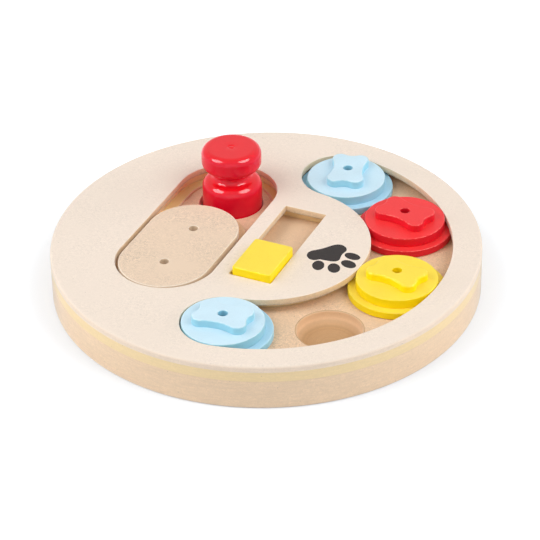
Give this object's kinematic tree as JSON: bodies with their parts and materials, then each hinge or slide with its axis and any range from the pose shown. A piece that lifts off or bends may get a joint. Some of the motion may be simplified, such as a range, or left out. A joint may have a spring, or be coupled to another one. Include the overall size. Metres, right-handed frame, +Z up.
{
  "type": "dog puzzle feeder toy",
  "caption": "Round wooden treat puzzle with bone-knobbed discs in a curved track, a sliding block, a sliding lid and a lift-out peg.",
  "frame": {"origin": "middle of the round board's underside", "axes": "+Z up out of the board, +Y along the slots of the lid and the block towards the peg, +X towards the middle of the curved track"},
  "size_m": [0.25, 0.25, 0.0555],
  "materials": {
    "board_base": "bare sanded fibreboard",
    "board_spacer": "bare fibreboard, yellower",
    "board_top": "bare sanded fibreboard, pale",
    "lid_face": "bare sanded fibreboard",
    "runner": "bare fibreboard",
    "red_paint": "glossy paint on wood",
    "yellow_paint": "satin paint on wood",
    "blue_paint": "satin paint on wood"
  },
  "bodies": {
    "board": {"base_board": "board_base", "spacer_board": "board_spacer", "top_board": "board_top"},
    "lid": {"lid_runner": "runner", "lid_cover": "lid_face"},
    "slider": {"slider_runner": "runner", "slider_block": "yellow_paint"},
    "peg": {"peg": "red_paint"},
    "back_disc": {"back_disc_flange": "blue_paint"},
    "back_disc_top": {"back_disc_tier": "blue_paint", "back_disc_bone": "blue_paint"},
    "red_disc": {"red_disc_flange": "red_paint"},
    "red_disc_top": {"red_disc_tier": "red_paint", "red_disc_bone": "red_paint"},
    "yellow_disc": {"yellow_disc_flange": "yellow_paint"},
    "yellow_disc_top": {"yellow_disc_tier": "yellow_paint", "yellow_disc_bone": "yellow_paint"},
    "front_disc": {"front_disc_flange": "blue_paint"},
    "front_disc_top": {"front_disc_tier": "blue_paint", "front_disc_bone": "blue_paint"}
  },
  "joints": [
    {"name": "lid_slide", "type": "slide", "parent": "board", "child": "lid", "axis": [0, 1, 0], "range_m": [0, 0.0045]},
    {"name": "block_slide", "type": "slide", "parent": "board", "child": "slider", "axis": [0, 1, 0], "range_m": [0, 0.0457]},
    {"name": "peg_lift", "type": "slide", "parent": "board", "child": "peg", "axis": [0, 0, 1], "range_m": [0, 0.06]},
    {"name": "back_disc_travel", "type": "hinge", "parent": "board", "child": "back_disc", "pos_m": [0, 0, 0], "axis": [0, 0, 1], "range_deg": [-0.7, 2.5]},
    {"name": "back_disc_spin", "type": "hinge", "parent": "back_disc", "child": "back_disc_top", "pos_m": [0.0151, 0.08304, 0], "axis": [0, 0, 1], "continuous": true},
    {"name": "red_disc_travel", "type": "hinge", "parent": "board", "child": "red_disc", "pos_m": [0, 0, 0], "axis": [0, 0, 1], "range_deg": [-5.1, 0.7]},
    {"name": "red_disc_spin", "type": "hinge", "parent": "red_disc", "child": "red_disc_top", "pos_m": [0.06467, 0.05423, 0], "axis": [0, 0, 1], "continuous": true},
    {"name": "yellow_disc_travel", "type": "hinge", "parent": "board", "child": "yellow_disc", "pos_m": [0, 0, 0], "axis": [0, 0, 1], "range_deg": [-38.6, 5.1]},
    {"name": "yellow_disc_spin", "type": "hinge", "parent": "yellow_disc", "child": "yellow_disc_top", "pos_m": [0.08418, -0.0061, 0], "axis": [0, 0, 1], "continuous": true},
    {"name": "front_disc_travel", "type": "hinge", "parent": "board", "child": "front_disc", "pos_m": [0, 0, 0], "axis": [0, 0, 1], "range_deg": [-0.4, 38.6]},
    {"name": "front_disc_spin", "type": "hinge", "parent": "front_disc", "child": "front_disc_top", "pos_m": [0.01204, -0.08354, 0], "axis": [0, 0, 1], "continuous": true}
  ]
}
